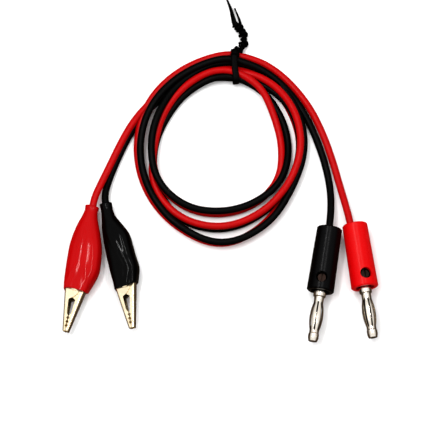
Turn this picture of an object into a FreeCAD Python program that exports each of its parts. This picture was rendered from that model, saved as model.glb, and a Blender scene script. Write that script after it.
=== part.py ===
"""A pair of bench test leads: two spring plugs, a bonded red and black cord in a tied coil, two booted clips.

Millimetres, +Z up. The leads lie on the plane z = 0, and the clips and plugs point along -Y.
Every plug and clip is drawn in its own frame, with +X towards its tip, and then placed.
"""
import FreeCAD
import Part
import Sketcher
import math
import os
import re

SIZES = {
    # cord
    "cord_dia": 2.7,
    "strand_dia": 1.5,
    "strand_end_gap": 0.3,
    # plug housing, measured back from its front face
    "housing_length": 24.7,
    "housing_rear_dia": 9.4,
    "housing_front_dia": 10.2,
    "housing_rear_wall": 1.6,
    "housing_entry_dia": 6.0,
    "housing_edge": 0.4,
    "screw_hole_back": 4.6,
    "screw_hole_dia": 4.2,
    # plug contact
    "barrel_dia": 6.8,
    "barrel_length": 14.0,
    "barrel_recess": 0.9,
    "barrel_gap": 0.05,
    "barrel_bore_dia": 2.4,
    "barrel_bore_end": 2.0,
    "collar_dia": 4.7,
    "collar_length": 2.2,
    "collar_edge": 0.25,
    "core_dia": 2.9,
    "cage_space": 14.1,
    "tip_dia": 3.96,
    "tip_length": 3.0,
    "tip_nose_dia": 3.3,
    "tip_hollow_dia": 2.3,
    "tip_hollow_depth": 1.8,
    # spring cage round the contact's core
    "cage_end_gap": 0.1,
    "cage_core_gap": 0.06,
    "cage_sheet": 0.3,
    "cage_rear_band": 2.4,
    "cage_front_band": 1.2,
    "cage_bulge": 0.72,
    "cage_leaves": 8,
    "cage_slot": 0.6,
    # clamp screw
    "screw_dia": 3.0,
    "screw_running_gap": 0.03,
    "screw_top": 3.3,
    "screw_strand_gap": 0.12,
    "screw_slot_width": 0.6,
    "screw_slot_depth": 0.9,
    # clip jaws, measured from the pivot
    "sheet_thickness": 0.45,
    "jaw_reach": 16.6,
    "tail_reach": 15.5,
    "pivot_half": 3.8,
    "tail_half": 3.35,
    "tip_half": 1.15,
    "moving_width": 4.9,
    "fixed_width": 3.8,
    "jaw_tip_width": 2.9,
    "tail_width": 3.0,
    "jaw_wide_from": 4.5,
    "tail_wall_depth": 0.9,
    "jaw_corner": 0.7,
    "ear_reach": 1.7,
    "ear_front": 3.6,
    "ear_back": 3.0,
    "throat_start": 4.6,
    "throat_depth": 0.85,
    "teeth_start": 9.4,
    "teeth_pitch": 1.5,
    "teeth_height": 0.55,
    "teeth_gap": 0.06,
    # clip pivot, spring and crimp
    "pin_dia": 1.5,
    "pin_running_gap": 0.05,
    "pin_head_dia": 2.5,
    "pin_head_height": 0.45,
    "spring_wire_dia": 0.45,
    "spring_coil_dia": 2.5,
    "spring_pitch": 0.42,
    "spring_turns": 4,
    "spring_leg": 6.5,
    "spring_leg_dia": 0.4,
    "spring_jaw_gap": 0.1,
    "crimp_length": 3.0,
    "crimp_wall": 0.4,
    "crimp_gap": 0.7,
    "crimp_bite": 0.1,
    "crimp_tongue_width": 2.0,
    # clip boot, measured back from the pivot
    "boot_wall": 0.5,
    "boot_mouth_front": 0.8,
    "boot_past_tail": 17.7,
    "boot_mouth_gap": 0.2,
    "boot_mouth_height": 7.2,
    "boot_neck_gap": 0.35,
    "boot_collar_gap": 0.05,
    "boot_height": 8.8,
    "boot_neck_dia": 5.6,
    "boot_collar_dia": 4.9,
    "red_boot_slack": 1.4,
    "black_boot_slack": 0.65,
    "red_boot_bend": 1.4,
    "black_boot_bend": 2.6,
    # tied coil and its twist tie
    "coil_height": 5.4,
    "coil_half_width": 2.2,
    "tie_width": 2.4,
    "tie_sheet": 0.45,
    "tie_slack": 0.25,
    "tie_stem_dia": 2.6,
    "tie_long_end_dia": 1.7,
    "tie_short_end_dia": 1.0,
    "tie_core_dia": 0.5,
    # places and turns: plugs from the middle of the front face, clips from the pivot
    "plug_height": 5.1,
    "red_plug_x": 53.3,
    "red_plug_y": -48.5,
    "red_plug_yaw": -81.4,
    "red_plug_roll": -12.0,
    "black_plug_x": 36.6,
    "black_plug_y": -49.9,
    "black_plug_yaw": -98.6,
    "black_plug_roll": 2.0,
    "clip_height": 4.8,
    "red_clip_x": -54.4,
    "red_clip_y": -49.0,
    "red_clip_yaw": -102.8,
    "red_clip_roll": 12.0,
    "black_clip_x": -35.8,
    "black_clip_y": -47.4,
    "black_clip_yaw": -81.4,
    "black_clip_roll": 16.0,
}

# The cord's free stretches, point by point, from the clips to the coil and from the coil to the plugs.
CLIP_LEADS = {
    "red": [
        (-49.3, -33.2, 5.15), (-48.6, -28.0, 5.05), (-49.0, -20.6, 4.65), (-47.8, -13.4, 4.5), (-44.9, -7.0, 4.2),
        (-41.4, 0.5, 4.0), (-37.6, 8.8, 3.95), (-33.7, 15.9, 3.95), (-29.0, 22.2, 3.95),
    ],
    "black": [
        (-36.8, -30.9, 5.25), (-38.2, -26.0, 5.1), (-41.9, -19.2, 4.35), (-43.7, -13.2, 3.5), (-42.8, -6.8, 2.0),
        (-39.6, 1.6, 1.4), (-35.6, 9.9, 1.35), (-31.6, 16.8, 1.35), (-26.9, 22.9, 1.35),
    ],
}
PLUG_LEADS = {
    "red": [
        (10.5, 41.9, 2.2), (18.0, 38.7, 1.6), (25.5, 32.5, 1.35), (33.0, 22.9, 1.35), (38.1, 12.0, 1.35),
        (41.6, 1.6, 1.35), (44.2, -8.2, 1.6), (46.6, -17.2, 3.6), (48.2, -24.6, 5.0), (50.2, -33.6, 5.1),
    ],
    "black": [
        (10.0, 39.3, 4.0), (17.3, 35.9, 3.0), (24.6, 29.6, 1.7), (31.0, 20.6, 1.35), (35.4, 10.8, 1.35),
        (38.7, 0.8, 1.35), (40.7, -9.0, 1.6), (40.9, -17.6, 3.4), (40.1, -25.6, 5.0), (38.9, -34.8, 5.1),
    ],
}

# The coil is three turns that share the tie at its top. A row is one turn's radius at the hours of a clock face.
COIL_CENTRE = (0.0, 6.5)
TURN_RADII = [
    [32.5, 31.0, 30.5, 29.5, 28.5, 29.0, 31.0, 31.5, 29.5, 25.5, 24.5, 26.5],
    [28.5, 26.5, 23.5, 23.5, 25.0, 24.5, 24.5, 26.5, 27.5, 26.0, 26.0, 28.5],
    [31.5, 33.5, 31.5, 30.5, 29.5, 33.0, 37.0, 34.5, 32.5, 31.0, 31.5, 33.0],
]
TIE_TURN = 6.0
TIE_OUTER, TIE_INNER = 37.3, 26.2
TIE_STEM = [
    (3.9, 43.0, 2.6), (5.4, 45.4, 2.2), (8.2, 47.9, 1.6), (9.4, 51.0, 1.4), (7.8, 53.9, 1.4), (4.9, 56.0, 1.4),
]
TIE_LONG_END = [(5.6, 55.5, 1.4), (3.9, 58.6, 1.2), (2.4, 62.6, 1.0), (0.8, 65.7, 0.95), (-0.4, 68.7, 0.95)]
TIE_SHORT_END = [(7.6, 53.2, 1.4), (6.5, 56.4, 1.2), (5.9, 59.2, 1.0), (5.0, 61.8, 0.9)]

BOOT_RING_POINTS = 16
CRIMP_CENTRE = "tail_half - sheet_thickness + crimp_bite - crimp_wall - cord_dia / 2"

document = FreeCAD.newDocument("TestLeads")
sheet = document.addObject("Spreadsheet::Sheet", "Sizes")


def fill_sheet():
    """One row for each size: its name, and its value with the name as alias."""
    for row, (alias, number) in enumerate(SIZES.items(), start=1):
        sheet.set(f"A{row}", alias)
        sheet.set(f"B{row}", str(number))
        sheet.setAlias(f"B{row}", alias)
    document.recompute()


def bound(formula):
    """The formula with each size's alias written as the sheet's own property."""
    def own_property(word):
        return "Sizes." + word.group() if word.group() in SIZES else word.group()
    return re.sub(r"[a-z_]+", own_property, formula)


def value(formula):
    """The number that a formula of sizes comes to."""
    return float(sheet.evalExpression(bound(formula)))


def frame(kind, colour):
    """The placement of a plug or a clip: turned about its own axis, then about Z, then moved to its place."""
    turn = FreeCAD.Rotation(value(f"{colour}_{kind}_yaw"), 0, value(f"{colour}_{kind}_roll"))
    place = (value(f"{colour}_{kind}_x"), value(f"{colour}_{kind}_y"), value(f"{kind}_height"))
    return FreeCAD.Placement(FreeCAD.Vector(*place), turn)


def new_body(name):
    return document.addObject("PartDesign::Body", name)


def origin(body, role):
    """The body's own origin plane or axis with that role."""
    return next(item for item in body.Origin.OriginFeatures if item.Role == role)


def side_geometry(start, end, rise):
    """A straight side, or an arc that stands off it by the rise, to the left of its way."""
    if not rise:
        return Part.LineSegment(start, end)
    across = FreeCAD.Vector(start.y - end.y, end.x - start.x, 0).normalize()
    return Part.Arc(start, (start + end) * 0.5 + across * rise, end)


def outline(body, plane, name, corners):
    """A closed sketch. A corner is (x, y), or (x, y, rise) where the side that starts there is an arc."""
    sketch = body.newObject("Sketcher::SketchObject", name)
    sketch.AttachmentSupport = [(origin(body, plane), "")]
    sketch.MapMode = "FlatFace"
    points = [FreeCAD.Vector(value(corner[0]), value(corner[1]), 0) for corner in corners]
    starts = []
    for index, corner in enumerate(corners):
        rise = corner[2] if len(corner) == 3 else None
        start, end = points[index], points[(index + 1) % len(points)]
        side = sketch.addGeometry(side_geometry(start, end, rise and value(rise)))
        starts.append(1 if sketch.getPoint(side, 1).isEqual(start, 1e-6) else 2)
    for index, corner in enumerate(corners):
        last = index - 1 if index else len(corners) - 1
        sketch.addConstraint(Sketcher.Constraint("Coincident", last, 3 - starts[last], index, starts[index]))
        rules = (("DistanceX", corner[0], points[index].x), ("DistanceY", corner[1], points[index].y))
        for kind, formula, number in rules:
            rule = sketch.addConstraint(Sketcher.Constraint(kind, -1, 1, index, starts[index], number))
            sketch.setExpression(f"Constraints[{rule}]", bound(formula))
        if len(corner) == 3:
            after = corners[(index + 1) % len(corners)]
            chord = f"((({after[0]}) - ({corner[0]}))^2 + (({after[1]}) - ({corner[1]}))^2)"
            radius = f"{chord} / (8 * abs({corner[2]})) + abs({corner[2]}) / 2"
            rule = sketch.addConstraint(Sketcher.Constraint("Radius", index, value(radius)))
            sketch.setExpression(f"Constraints[{rule}]", bound(radius))
    return sketch


def disc(body, plane, name, x, y, diameter):
    """A sketch of one circle."""
    sketch = body.newObject("Sketcher::SketchObject", name)
    sketch.AttachmentSupport = [(origin(body, plane), "")]
    sketch.MapMode = "FlatFace"
    middle = FreeCAD.Vector(value(x), value(y), 0)
    sketch.addGeometry(Part.Circle(middle, FreeCAD.Vector(0, 0, 1), value(diameter) / 2))
    rules = (("DistanceX", x, middle.x), ("DistanceY", y, middle.y))
    for kind, formula, number in rules:
        rule = sketch.addConstraint(Sketcher.Constraint(kind, -1, 1, 0, 3, number))
        sketch.setExpression(f"Constraints[{rule}]", bound(formula))
    rule = sketch.addConstraint(Sketcher.Constraint("Diameter", 0, value(diameter)))
    sketch.setExpression(f"Constraints[{rule}]", bound(diameter))
    return sketch


def revolve(body, name, corners):
    """A solid turned about the body's X axis."""
    turned = body.newObject("PartDesign::Revolution", name)
    turned.Profile = outline(body, "XY_Plane", name + "Profile", corners)
    turned.ReferenceAxis = (origin(body, "X_Axis"), [""])
    turned.Angle = 360
    return turned


def extrude(body, kind, name, sketch, length, both_ways=False, other_way=False):
    """A Pad or a Pocket of a sketch, as long as the formula says."""
    feature = body.newObject("PartDesign::" + kind, name)
    feature.Profile = sketch
    feature.setExpression("Length", bound(length))
    feature.SideType = "Symmetric" if both_ways else "One side"
    feature.Reversed = other_way
    return feature


def polar(body, name, feature, count):
    """The feature repeated all round the body's X axis."""
    pattern = body.newObject("PartDesign::PolarPattern", name)
    pattern.Originals = [feature]
    pattern.Axis = (origin(body, "X_Axis"), [""])
    pattern.Angle = 360
    pattern.setExpression("Occurrences", bound(count))
    body.Tip = pattern
    return pattern


def finish(item, label, place):
    """Gives a sub-part its name and its place."""
    item.Label = label
    item.Placement = place
    return item


def plug_housing(colour, place):
    """A moulded sleeve, a little wider at the front, open at the rear for the cord, with a hole for the screw."""
    body = new_body(f"{colour}_housing_body")
    revolve(body, "Sleeve", [
        ("-housing_length", "housing_entry_dia / 2"),
        ("-housing_length", "housing_rear_dia / 2 - housing_edge"),
        ("-housing_length + housing_edge", "housing_rear_dia / 2"),
        ("-housing_edge", "housing_front_dia / 2"),
        ("0", "housing_front_dia / 2 - housing_edge"),
        ("0", "barrel_dia / 2 + barrel_gap"),
        ("-housing_length + housing_rear_wall", "barrel_dia / 2 + barrel_gap"),
        ("-housing_length + housing_rear_wall", "housing_entry_dia / 2"),
    ])
    hole = disc(body, "XY_Plane", "ScrewHoleCircle", "-screw_hole_back", "0", "screw_hole_dia")
    extrude(body, "Pocket", "ScrewHole", hole, "housing_front_dia", other_way=True)
    finish(body, f"{colour}_plug_housing", place)


def plug_contact(colour, place):
    """A turned contact: barrel with the cord's bore, collar, slim core and swaged hollow tip."""
    nose = "collar_length + cage_space"
    body = new_body(f"{colour}_contact_body")
    revolve(body, "Turned", [
        ("-barrel_length", "barrel_bore_dia / 2"),
        ("-barrel_length", "barrel_dia / 2"),
        ("-barrel_recess", "barrel_dia / 2"),
        ("-barrel_recess", "collar_dia / 2"),
        ("collar_length - collar_edge", "collar_dia / 2"),
        ("collar_length", "collar_dia / 2 - collar_edge"),
        ("collar_length", "core_dia / 2"),
        (nose, "core_dia / 2"),
        (nose, "tip_dia / 2 - collar_edge"),
        (nose + " + collar_edge", "tip_dia / 2"),
        (nose + " + tip_length * 0.6", "tip_dia / 2"),
        (nose + " + tip_length", "tip_nose_dia / 2"),
        (nose + " + tip_length", "tip_hollow_dia / 2"),
        (nose + " + tip_length - tip_hollow_depth", "tip_hollow_dia / 2"),
        (nose + " + tip_length - tip_hollow_depth - tip_hollow_dia / 4", "0"),
        ("-barrel_bore_end", "0"),
        ("-barrel_bore_end", "barrel_bore_dia / 2"),
    ])
    tapped = disc(body, "XY_Plane", "TappedCircle", "-screw_hole_back", "0", "screw_dia + 2 * screw_running_gap")
    extrude(body, "Pocket", "TappedHole", tapped, "barrel_dia", other_way=True)
    finish(body, f"{colour}_plug_contact", place)


def spring_cage(colour, place):
    """A sheet lantern: two bands joined by bowed leaves, free to turn on the core."""
    inner = "core_dia / 2 + cage_core_gap"
    outer = inner + " + cage_sheet"
    start = "collar_length + cage_end_gap"
    end = "collar_length + cage_space - cage_end_gap"
    body = new_body(f"{colour}_cage_body")
    revolve(body, "Lantern", [
        (start, inner),
        (start, outer),
        (start + " + cage_rear_band", outer, "cage_bulge"),
        (end + " - cage_front_band", outer),
        (end, outer),
        (end, inner),
        (end + " - cage_front_band", inner, "-cage_bulge"),
        (start + " + cage_rear_band", inner),
    ])
    slot = outline(body, "XZ_Plane", "SlotOutline", [
        (start + " + cage_rear_band * 0.8", "-cage_slot / 2"),
        (end + " - cage_front_band * 0.8", "-cage_slot / 2"),
        (end + " - cage_front_band * 0.8", "cage_slot / 2"),
        (start + " + cage_rear_band * 0.8", "cage_slot / 2"),
    ])
    cut = extrude(body, "Pocket", "Slot", slot, "core_dia + cage_bulge + cage_sheet")
    polar(body, "Slots", cut, "cage_leaves")
    finish(body, f"{colour}_plug_spring_cage", place)


def clamp_screw(colour, place):
    """A slotted screw across the barrel. Its top stands in the housing's hole and its end presses on the strands."""
    length = "screw_top - strand_dia / 2 - screw_strand_gap"
    body = new_body(f"{colour}_screw_body")
    circle = disc(body, "XY_Plane", "ShankCircle", "-screw_hole_back", "0", "screw_dia")
    circle.setExpression("AttachmentOffset.Base.z", bound("strand_dia / 2 + screw_strand_gap"))
    extrude(body, "Pad", "Shank", circle, length)
    slot = outline(body, "XY_Plane", "SlotOutline", [
        ("-screw_hole_back - screw_dia", "-screw_slot_width / 2"),
        ("-screw_hole_back + screw_dia", "-screw_slot_width / 2"),
        ("-screw_hole_back + screw_dia", "screw_slot_width / 2"),
        ("-screw_hole_back - screw_dia", "screw_slot_width / 2"),
    ])
    slot.setExpression("AttachmentOffset.Base.z", bound("screw_top"))
    extrude(body, "Pocket", "DriverSlot", slot, "screw_slot_depth")
    finish(body, f"{colour}_plug_clamp_screw", place)


def strands(colour, end, place, start, length, shift):
    """The cord's bared strands where they are clamped."""
    rod = document.addObject("Part::Cylinder", f"{colour}_{end}_strand_rod")
    rod.setExpression("Radius", bound("strand_dia / 2"))
    rod.setExpression("Height", bound(length))
    along = FreeCAD.Placement(FreeCAD.Vector(value(start), value(shift), 0), FreeCAD.Rotation(0, 90, 0))
    finish(rod, f"{colour}_{end}_strands", place.multiply(along))


def jaw_profile(side):
    """One jaw's side wall as corners, from the tail's end along the back to the tip and back along the teeth."""
    corners = [
        ("-tail_reach", f"{side} * tail_half"),
        ("0", f"{side} * pivot_half"),
        ("jaw_reach", f"{side} * tip_half"),
        ("jaw_reach", f"{side} * teeth_gap"),
    ]
    teeth = int((value("jaw_reach") - value("teeth_start")) / value("teeth_pitch"))
    for tooth in range(teeth, 0, -1):
        foot = f"teeth_start + teeth_pitch * {tooth}"
        corners.append((foot, f"{side} * teeth_gap"))
        corners.append((f"{foot} - teeth_pitch / 2", f"{side} * (teeth_gap + teeth_height)"))
    corners += [
        ("teeth_start", f"{side} * throat_depth"),
        ("throat_start", f"{side} * throat_depth * 1.5"),
        ("ear_front", f"-{side} * ear_reach * 0.2"),
        ("ear_front * 0.55", f"-{side} * ear_reach"),
        ("-ear_back * 0.5", f"-{side} * ear_reach"),
        ("-ear_back", f"-{side} * ear_reach * 0.3"),
        ("-ear_back * 1.9", f"{side} * (pivot_half - tail_wall_depth * 1.6)"),
        ("-tail_reach", f"{side} * (tail_half - tail_wall_depth)"),
    ]
    return corners


def back_edges(shape, side):
    """The names of the long edges along a jaw's back."""
    found = []
    for index, edge in enumerate(shape.Edges, start=1):
        ends = [vertex.Point for vertex in edge.Vertexes]
        if len(ends) < 2 or abs(ends[0].x - ends[1].x) < 1:
            continue
        heights = [
            value("pivot_half") + (value("tip_half") - value("pivot_half")) * point.x / value("jaw_reach")
            if point.x > 0 else
            value("pivot_half") + (value("tail_half") - value("pivot_half")) * -point.x / value("tail_reach")
            for point in ends
        ]
        if all(abs(point.y * side - height) < 1e-3 for point, height in zip(ends, heights)):
            found.append(f"Edge{index}")
    return found


def side_tapers(body, name, width, wall):
    """Cuts both flanks so that the channel narrows from the pivot to the tip and to the tail."""
    for sign, label in ((1, "Upper"), (-1, "Lower")):
        plan = outline(body, "XZ_Plane", f"{name}{label}Plan", [
            ("-tail_reach - 1", f"{sign} * (tail_width / 2 - {wall})"),
            ("-tail_reach", f"{sign} * (tail_width / 2 - {wall})"),
            ("-jaw_wide_from", f"{sign} * ({width} / 2 - {wall})"),
            ("jaw_wide_from", f"{sign} * ({width} / 2 - {wall})"),
            ("jaw_reach", f"{sign} * (jaw_tip_width / 2 - {wall})"),
            ("jaw_reach + 1", f"{sign} * (jaw_tip_width / 2 - {wall})"),
            ("jaw_reach + 1", f"{sign} * {width}"),
            ("-tail_reach - 1", f"{sign} * {width}"),
        ])
        extrude(body, "Pocket", f"{name}{label}Taper", plan, "4 * pivot_half", both_ways=True)


def add_crimp(colour, channel):
    """The fixed jaw with its tail's tongue and the lug folded round the cord, past the moving tail's end."""
    lug = new_body(f"{colour}_crimp_lug")
    near, far = "-tail_reach - crimp_gap", "-tail_reach - crimp_gap - crimp_length"
    revolve(lug, "Lug", [
        (far, "cord_dia / 2"),
        (far, "cord_dia / 2 + crimp_wall"),
        (near, "cord_dia / 2 + crimp_wall"),
        (near, "cord_dia / 2"),
    ])
    lug.Placement = FreeCAD.Placement(FreeCAD.Vector(0, value(CRIMP_CENTRE), 0), FreeCAD.Rotation())
    tongue = document.addObject("Part::Box", f"{colour}_crimp_tongue")
    tongue.setExpression("Length", bound("crimp_length + crimp_gap + sheet_thickness"))
    tongue.setExpression("Width", bound("sheet_thickness"))
    tongue.setExpression("Height", bound("crimp_tongue_width"))
    corner = (value(far), value("tail_half - sheet_thickness"), -value("crimp_tongue_width") / 2)
    tongue.Placement = FreeCAD.Placement(FreeCAD.Vector(*corner), FreeCAD.Rotation())
    joined = document.addObject("Part::MultiFuse", f"{colour}_fixed_jaw_and_crimp")
    joined.Shapes = [channel, lug, tongue]
    return joined


def jaw(colour, which, side, width, place):
    """A pressed sheet channel with a rounded back, toothed at the front and with ears at the pivot."""
    outer = new_body(f"{colour}_{which}_outer")
    profile = outline(outer, "XY_Plane", "Profile", jaw_profile(side))
    extrude(outer, "Pad", "Block", profile, width, both_ways=True)
    side_tapers(outer, "Outer", width, "0")
    document.recompute()
    block = outer.Tip
    rounded = outer.newObject("PartDesign::Fillet", "BackCorners")
    rounded.Base = (block, back_edges(block.Shape, side))
    rounded.setExpression("Radius", bound("jaw_corner"))
    inner = new_body(f"{colour}_{which}_inner")
    hollow = outline(inner, "XY_Plane", "Hollow", [
        ("-tail_reach - 1", f"{side} * (tail_half - sheet_thickness)"),
        ("0", f"{side} * (pivot_half - sheet_thickness)"),
        ("jaw_reach + 1", f"{side} * (tip_half - sheet_thickness)"),
        ("jaw_reach + 1", f"-{side} * pivot_half"),
        ("-tail_reach - 1", f"-{side} * pivot_half"),
    ])
    extrude(inner, "Pad", "Block", hollow, f"{width} - 2 * sheet_thickness", both_ways=True)
    side_tapers(inner, "Inner", width, "sheet_thickness")
    hole = document.addObject("Part::Cylinder", f"{colour}_{which}_pin_hole")
    running = " + pin_running_gap" if which == "moving" else ""
    hole.setExpression("Radius", bound("pin_dia / 2" + running))
    hole.setExpression("Height", bound("4 * moving_width"))
    hole.Placement = FreeCAD.Placement(FreeCAD.Vector(0, 0, -2 * value("moving_width")), FreeCAD.Rotation())
    tools = document.addObject("Part::MultiFuse", f"{colour}_{which}_tools")
    tools.Shapes = [inner, hole]
    channel = document.addObject("Part::Cut", f"{colour}_{which}_channel")
    channel.Base = outer
    channel.Tool = tools
    if which == "fixed":
        channel = add_crimp(colour, channel)
    finish(channel, f"{colour}_clip_{which}_jaw", place)


def pivot_pin(colour, place):
    """A rivet through both jaws, with a low head at each end."""
    body = new_body(f"{colour}_pin_body")
    half = "(moving_width / 2 + pin_running_gap)"
    outline_corners = [
        (f"-{half} - pin_head_height", "0"),
        (f"-{half} - pin_head_height", "pin_head_dia / 4"),
        (f"-{half} - pin_head_height / 2", "pin_head_dia / 2"),
        (f"-{half}", "pin_head_dia / 2"),
        (f"-{half}", "pin_dia / 2"),
        (half, "pin_dia / 2"),
        (half, "pin_head_dia / 2"),
        (f"{half} + pin_head_height / 2", "pin_head_dia / 2"),
        (f"{half} + pin_head_height", "pin_head_dia / 4"),
        (f"{half} + pin_head_height", "0"),
    ]
    revolve(body, "Rivet", outline_corners)
    upright = FreeCAD.Placement(FreeCAD.Vector(), FreeCAD.Rotation(FreeCAD.Vector(0, 1, 0), -90))
    finish(body, f"{colour}_clip_pivot_pin", place.multiply(upright))


def torsion_spring(colour, place):
    """A close-wound spring round the rivet, as touching rings, with a leg lying along each tail."""
    wire, coil = value("spring_wire_dia"), value("spring_coil_dia")
    reach = value("tail_half - sheet_thickness - spring_wire_dia / 2 - spring_jaw_gap")
    count = round(value("spring_turns"))
    levels = [value("spring_pitch") * (turn - (count - 1) / 2) for turn in range(count)]
    rings = [Part.makeTorus(coil / 2, wire / 2, FreeCAD.Vector(0, 0, level)) for level in levels]
    for side, level in ((-1, levels[0]), (1, levels[-1])):
        foot = FreeCAD.Vector(0, side * coil / 2, level)
        aim = FreeCAD.Vector(-value("spring_leg"), side * (reach - coil / 2), 0)
        rings.append(Part.makeCylinder(value("spring_leg_dia") / 2, aim.Length, foot, aim))
    item = document.addObject("Part::Feature", f"{colour}_spring")
    item.Shape = rings[0].fuse(rings[1:])
    finish(item, f"{colour}_clip_spring", place)


def boot_section(x, y, width, height, squareness):
    """A closed smooth ring across the clip's axis: a superellipse, round at 2 and squarer above it."""
    ring = []
    for step in range(BOOT_RING_POINTS):
        turn = 2 * math.pi * (step + 0.5) / BOOT_RING_POINTS
        across, up = math.cos(turn), math.sin(turn)
        reach = (abs(across) ** squareness + abs(up) ** squareness) ** (-1 / squareness)
        ring.append(FreeCAD.Vector(x, y + across * reach * width / 2, up * reach * height / 2))
    curve = Part.BSplineCurve()
    curve.interpolate(Points=ring, PeriodicFlag=True)
    return Part.Wire(curve.toShape())


def boot_skin(colour, wall, cord_gaps=None):
    """A loft from the mouth back to the collar, with the wall taken off all round and a snug hole at the cord."""
    mouth = "2 * (pivot_half + boot_wall + boot_mouth_gap)"
    width = f"2 * (pivot_half + boot_wall + {colour}_boot_slack)"
    stations = [
        ("boot_mouth_front", "0", mouth, "boot_mouth_height", 4.0),
        ("-tail_reach * 0.3", "0.03", f"{width} * 0.96", "boot_height * 0.95", 3.4),
        ("-tail_reach * 0.685", "0.07", width, "boot_height", 3.0),
        ("-tail_reach - boot_past_tail * 0.1", "0.14", width, "boot_height * 0.98", 3.0),
        ("-tail_reach - boot_past_tail * 0.437", "0.44", f"{width} * 0.86", "boot_height * 0.88", 2.6),
        ("-tail_reach - boot_past_tail * 0.757", "0.86", "boot_neck_dia", "boot_neck_dia", 2.0),
        ("-tail_reach - boot_past_tail + boot_mouth_front", "1", "boot_collar_dia", "boot_collar_dia", 2.0),
    ]
    bend = f"{colour}_boot_bend"
    rings = []
    for index, (x, share, across, high, squareness) in enumerate(stations):
        if cord_gaps and index >= len(stations) - 2:
            across = high = f"cord_dia + 2 * ({cord_gaps[index - len(stations) + 2]} + {wall})"
        rings.append(boot_section(value(x), -value(f"{bend} * {share}"), value(f"{across} - 2 * {wall}"),
                                  value(f"{high} - 2 * {wall}"), squareness))
    return Part.makeLoft(rings, True, False)


def clip_boot(colour, place):
    """A dipped vinyl sleeve over both tails, narrow at the cord and open at the jaws."""
    inside = boot_skin(colour, "boot_wall", ("boot_neck_gap", "boot_collar_gap"))
    boot = document.addObject("Part::Feature", f"{colour}_boot")
    boot.Shape = boot_skin(colour, "0").cut(inside)
    finish(boot, f"{colour}_clip_boot", place)


def rounded_path(points):
    """Straight runs joined by tangent arcs, each as large as its two runs allow, and the arcs' radii."""
    points = [FreeCAD.Vector(*point) for point in points]
    edges, radii, start = [], [], points[0]
    for before, corner, after in zip(points, points[1:], points[2:]):
        back, ahead = before - corner, after - corner
        half = (math.pi - back.getAngle(ahead)) / 2
        cut = 0.45 * min(back.Length, ahead.Length)
        radii.append(cut / math.tan(half))
        first = corner + back.normalize() * cut
        last = corner + ahead.normalize() * cut
        to_middle = (back + ahead).normalize()
        middle = corner + to_middle * (radii[-1] / math.cos(half) - radii[-1])
        edges.append(Part.LineSegment(start, first).toShape())
        edges.append(Part.Arc(first, middle, last).toShape())
        start = last
    edges.append(Part.LineSegment(start, points[-1]).toShape())
    return Part.Wire(edges), radii


def tube(points, diameter, name):
    """A round tube along a rounded path, with its volume compared with its section times its length."""
    path, radii = rounded_path(points)
    first = path.Edges[0]
    begin = first.FirstParameter
    section = Part.makeCircle(diameter / 2, first.valueAt(begin), first.tangentAt(begin))
    solid = path.makePipeShell([Part.Wire(section)], True, False)
    expected = math.pi * diameter ** 2 / 4 * path.Length
    print(f"{name}: length {path.Length:.1f}, radii {[round(radius, 1) for radius in radii]}, "
          f"volume {solid.Volume / expected:.4f} of section times length")
    return solid


def cord_stretch(label, points):
    """One wire's free stretch of cord."""
    item = document.addObject("Part::Feature", label + "_tube")
    item.Shape = tube(points, value("cord_dia"), label)
    finish(item, label, FreeCAD.Placement())


def clock_ring(radii):
    """A smooth closed curve about the coil's centre through its radii at the hours of a clock face."""
    hours = [math.radians(360 / len(radii) * hour) for hour in range(len(radii))]
    points = [
        FreeCAD.Vector(COIL_CENTRE[0] + radius * math.sin(hour), COIL_CENTRE[1] + radius * math.cos(hour), 0)
        for hour, radius in zip(hours, radii)
    ]
    curve = Part.BSplineCurve()
    curve.interpolate(Points=points, PeriodicFlag=True)
    return Part.Wire(curve.toShape())


def cord_coil():
    """The outer shape of the tied turns: a ring from the innermost turn to the outermost."""
    half = value("coil_half_width")
    outside = [max(radii) + half for radii in zip(*TURN_RADII)]
    inside = [min(radii) - half for radii in zip(*TURN_RADII)]
    outside[0], inside[0] = TIE_OUTER, TIE_INNER
    flat = Part.Face(clock_ring(outside)).cut(Part.Face(clock_ring(inside)))
    item = document.addObject("Part::Feature", "coil_ring")
    item.Shape = flat.extrude(FreeCAD.Vector(0, 0, value("coil_height")))
    finish(item, "cord_coil", FreeCAD.Placement())


def twist_tie():
    """A plastic ribbon wrapped round the turns and twisted into a stem with two loose ends, and its steel core."""
    sheet_thickness, slack = value("tie_sheet"), value("tie_slack")
    width, height = value("tie_width"), value("coil_height")
    low, high = TIE_INNER - slack, TIE_OUTER + slack
    outer = Part.makeBox(width, high - low + 2 * sheet_thickness, height + slack + sheet_thickness,
                         FreeCAD.Vector(-width / 2, low - sheet_thickness, 0))
    hole = Part.makeBox(2 * width, high - low, height + slack - sheet_thickness,
                        FreeCAD.Vector(-width, low, sheet_thickness))
    wrap = outer.cut(hole)
    wrap.rotate(FreeCAD.Vector(), FreeCAD.Vector(0, 0, 1), -TIE_TURN)
    wrap.translate(FreeCAD.Vector(COIL_CENTRE[0], COIL_CENTRE[1], 0))
    stem = tube(TIE_STEM, value("tie_stem_dia"), "tie stem")
    long_end = tube(TIE_LONG_END, value("tie_long_end_dia"), "tie long end")
    short_end = tube(TIE_SHORT_END, value("tie_short_end_dia"), "tie short end")
    core = tube(TIE_LONG_END[1:], value("tie_core_dia"), "tie core")
    ribbon = document.addObject("Part::Feature", "tie_ribbon")
    ribbon.Shape = wrap.fuse([stem, long_end, short_end]).cut(core)
    finish(ribbon, "twist_tie_ribbon", FreeCAD.Placement())
    wire = document.addObject("Part::Feature", "tie_core")
    wire.Shape = core
    finish(wire, "twist_tie_core_wire", FreeCAD.Placement())


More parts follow.
